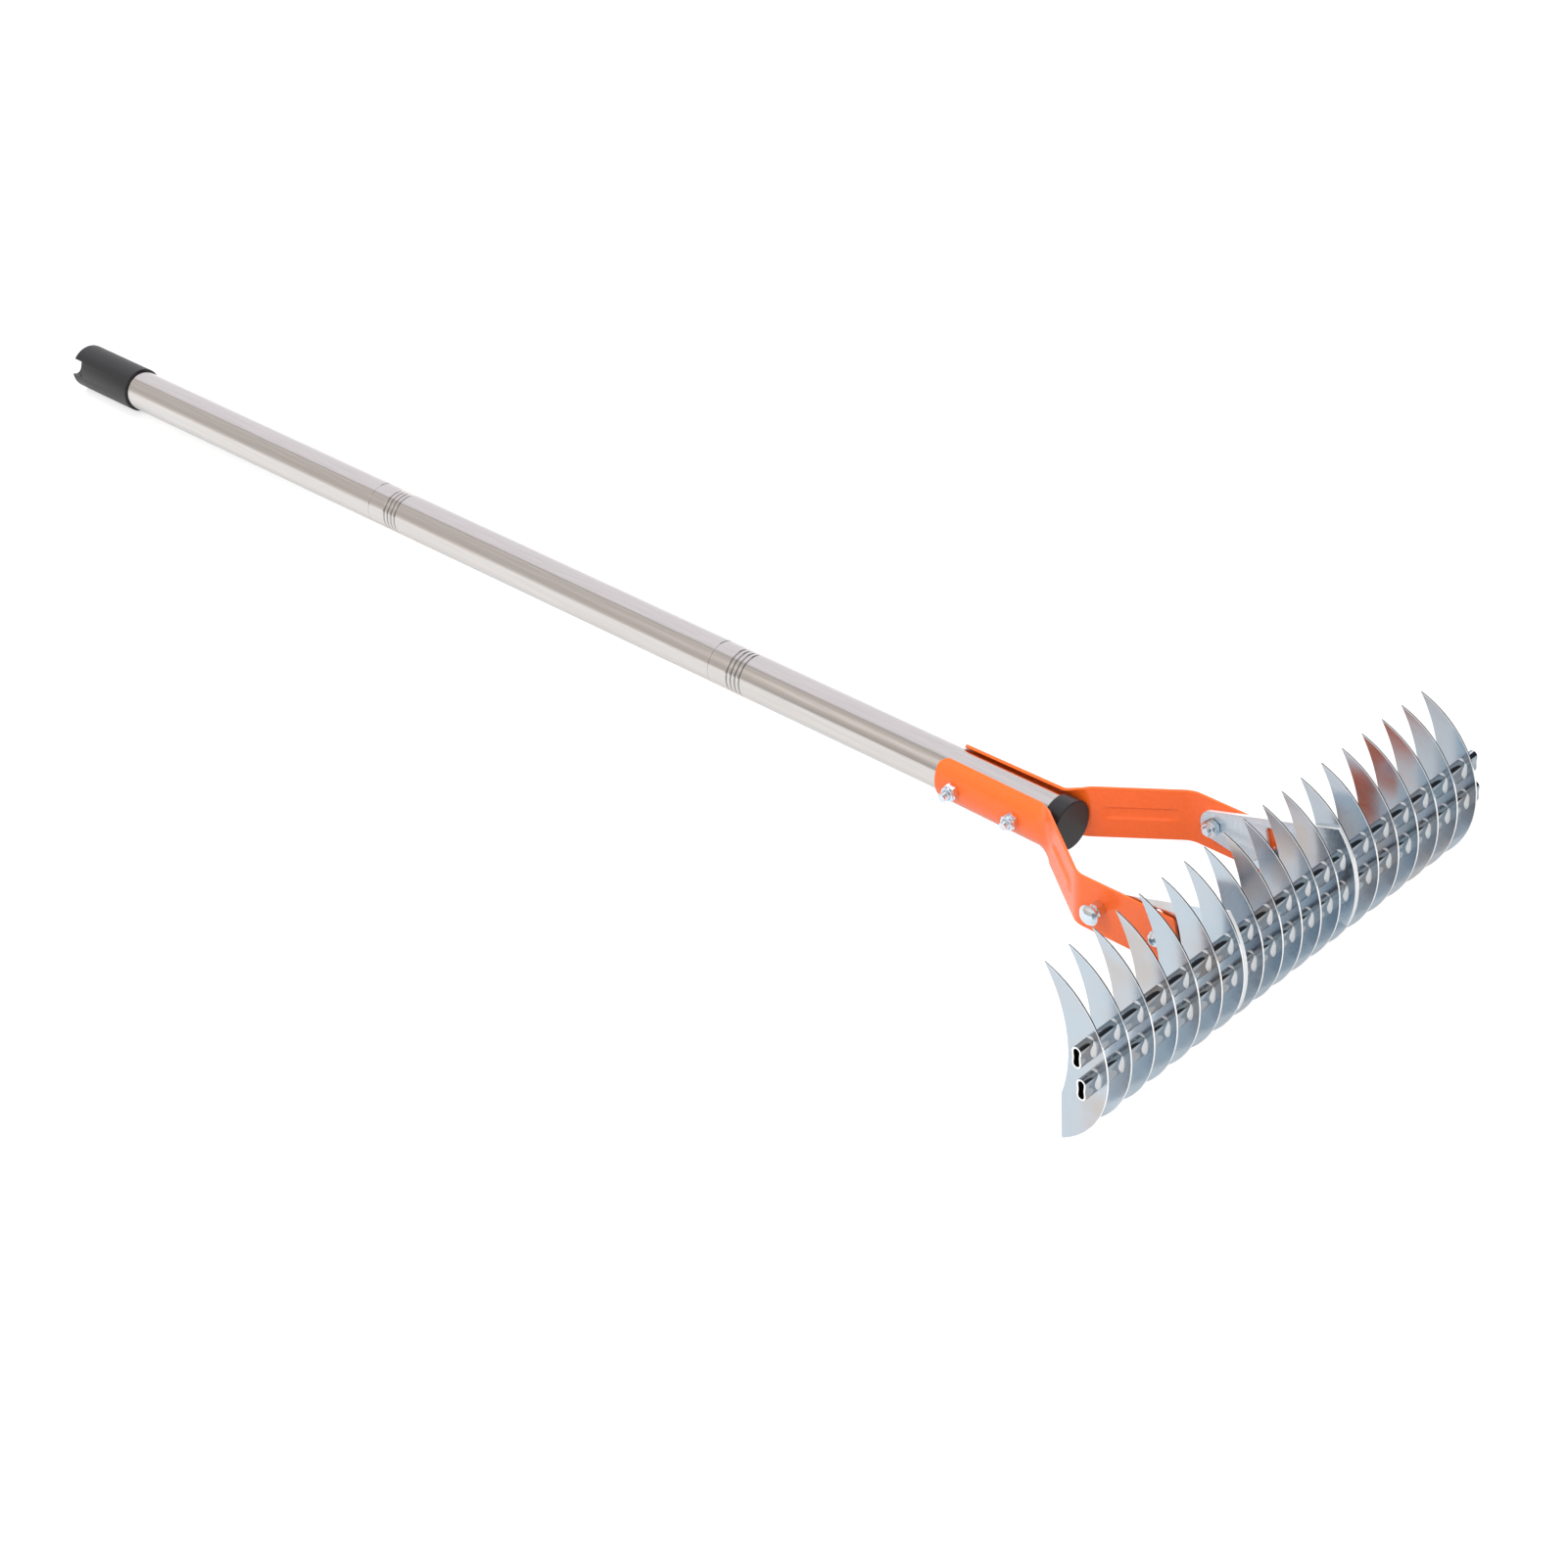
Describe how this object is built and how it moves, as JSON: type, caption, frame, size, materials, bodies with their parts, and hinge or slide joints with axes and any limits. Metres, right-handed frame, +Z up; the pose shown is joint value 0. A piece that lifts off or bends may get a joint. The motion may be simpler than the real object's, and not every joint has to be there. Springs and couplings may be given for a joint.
{
  "type": "thatch rake",
  "caption": "Lawn thatch rake: a row of crescent steel blades on two crossbars, tilting in a painted fork on a long three-section tube handle.",
  "frame": {"origin": "middle of the bounding box on the ground, where the rake lies at rest on its blade ends and on the rim of its handle cap", "axes": "+Y along the handle towards the blades, +Z up from the ground, +X to the right of someone behind the handle looking along it to the blades"},
  "size_m": [0.372, 1.1704, 0.1169],
  "materials": {
    "handle_tube": "bright rolled stainless tube",
    "cap": "matte charcoal moulded plastic",
    "joint_plug": "black nylon",
    "bracket": "gloss orange powder coat",
    "fastener": "bright zinc plate",
    "crossbar": "bright zinc plate",
    "lug": "bright zinc plate",
    "blade": "blue zinc plate, ground at the edge"
  },
  "bodies": {
    "handle": {"upper_tube": "handle_tube", "middle_tube": "handle_tube", "lower_tube": "handle_tube", "top_cap": "cap", "bottom_cap": "cap", "upper_joint_stud": "joint_plug", "upper_joint_socket": "joint_plug", "lower_joint_stud": "joint_plug", "lower_joint_socket": "joint_plug", "right_bracket": "bracket", "left_bracket": "bracket", "rear_clamp_bolt": "fastener", "rear_clamp_nut": "fastener", "front_clamp_bolt": "fastener", "front_clamp_nut": "fastener", "right_pivot_bolt": "fastener", "right_pivot_nut": "fastener", "left_pivot_bolt": "fastener", "left_pivot_nut": "fastener", "right_stop_bolt": "fastener", "right_stop_nut": "fastener", "left_stop_bolt": "fastener", "left_stop_nut": "fastener"},
    "head": {"right_lug": "lug", "left_lug": "lug", "upper_crossbar": "crossbar", "lower_crossbar": "crossbar", "blade_01": "blade", "blade_02": "blade", "blade_03": "blade", "blade_04": "blade", "blade_05": "blade", "blade_06": "blade", "blade_07": "blade", "blade_08": "blade", "blade_09": "blade", "blade_10": "blade", "blade_11": "blade", "blade_12": "blade", "blade_13": "blade", "blade_14": "blade", "blade_15": "blade", "blade_16": "blade", "blade_17": "blade", "blade_18": "blade", "blade_19": "blade"}
  },
  "joints": [
    {"name": "head_tilt", "type": "hinge", "parent": "handle", "child": "head", "pos_m": [0, 0.48212, 0.05638], "axis": [-1, 0, 0], "range_deg": [0, 18]}
  ]
}
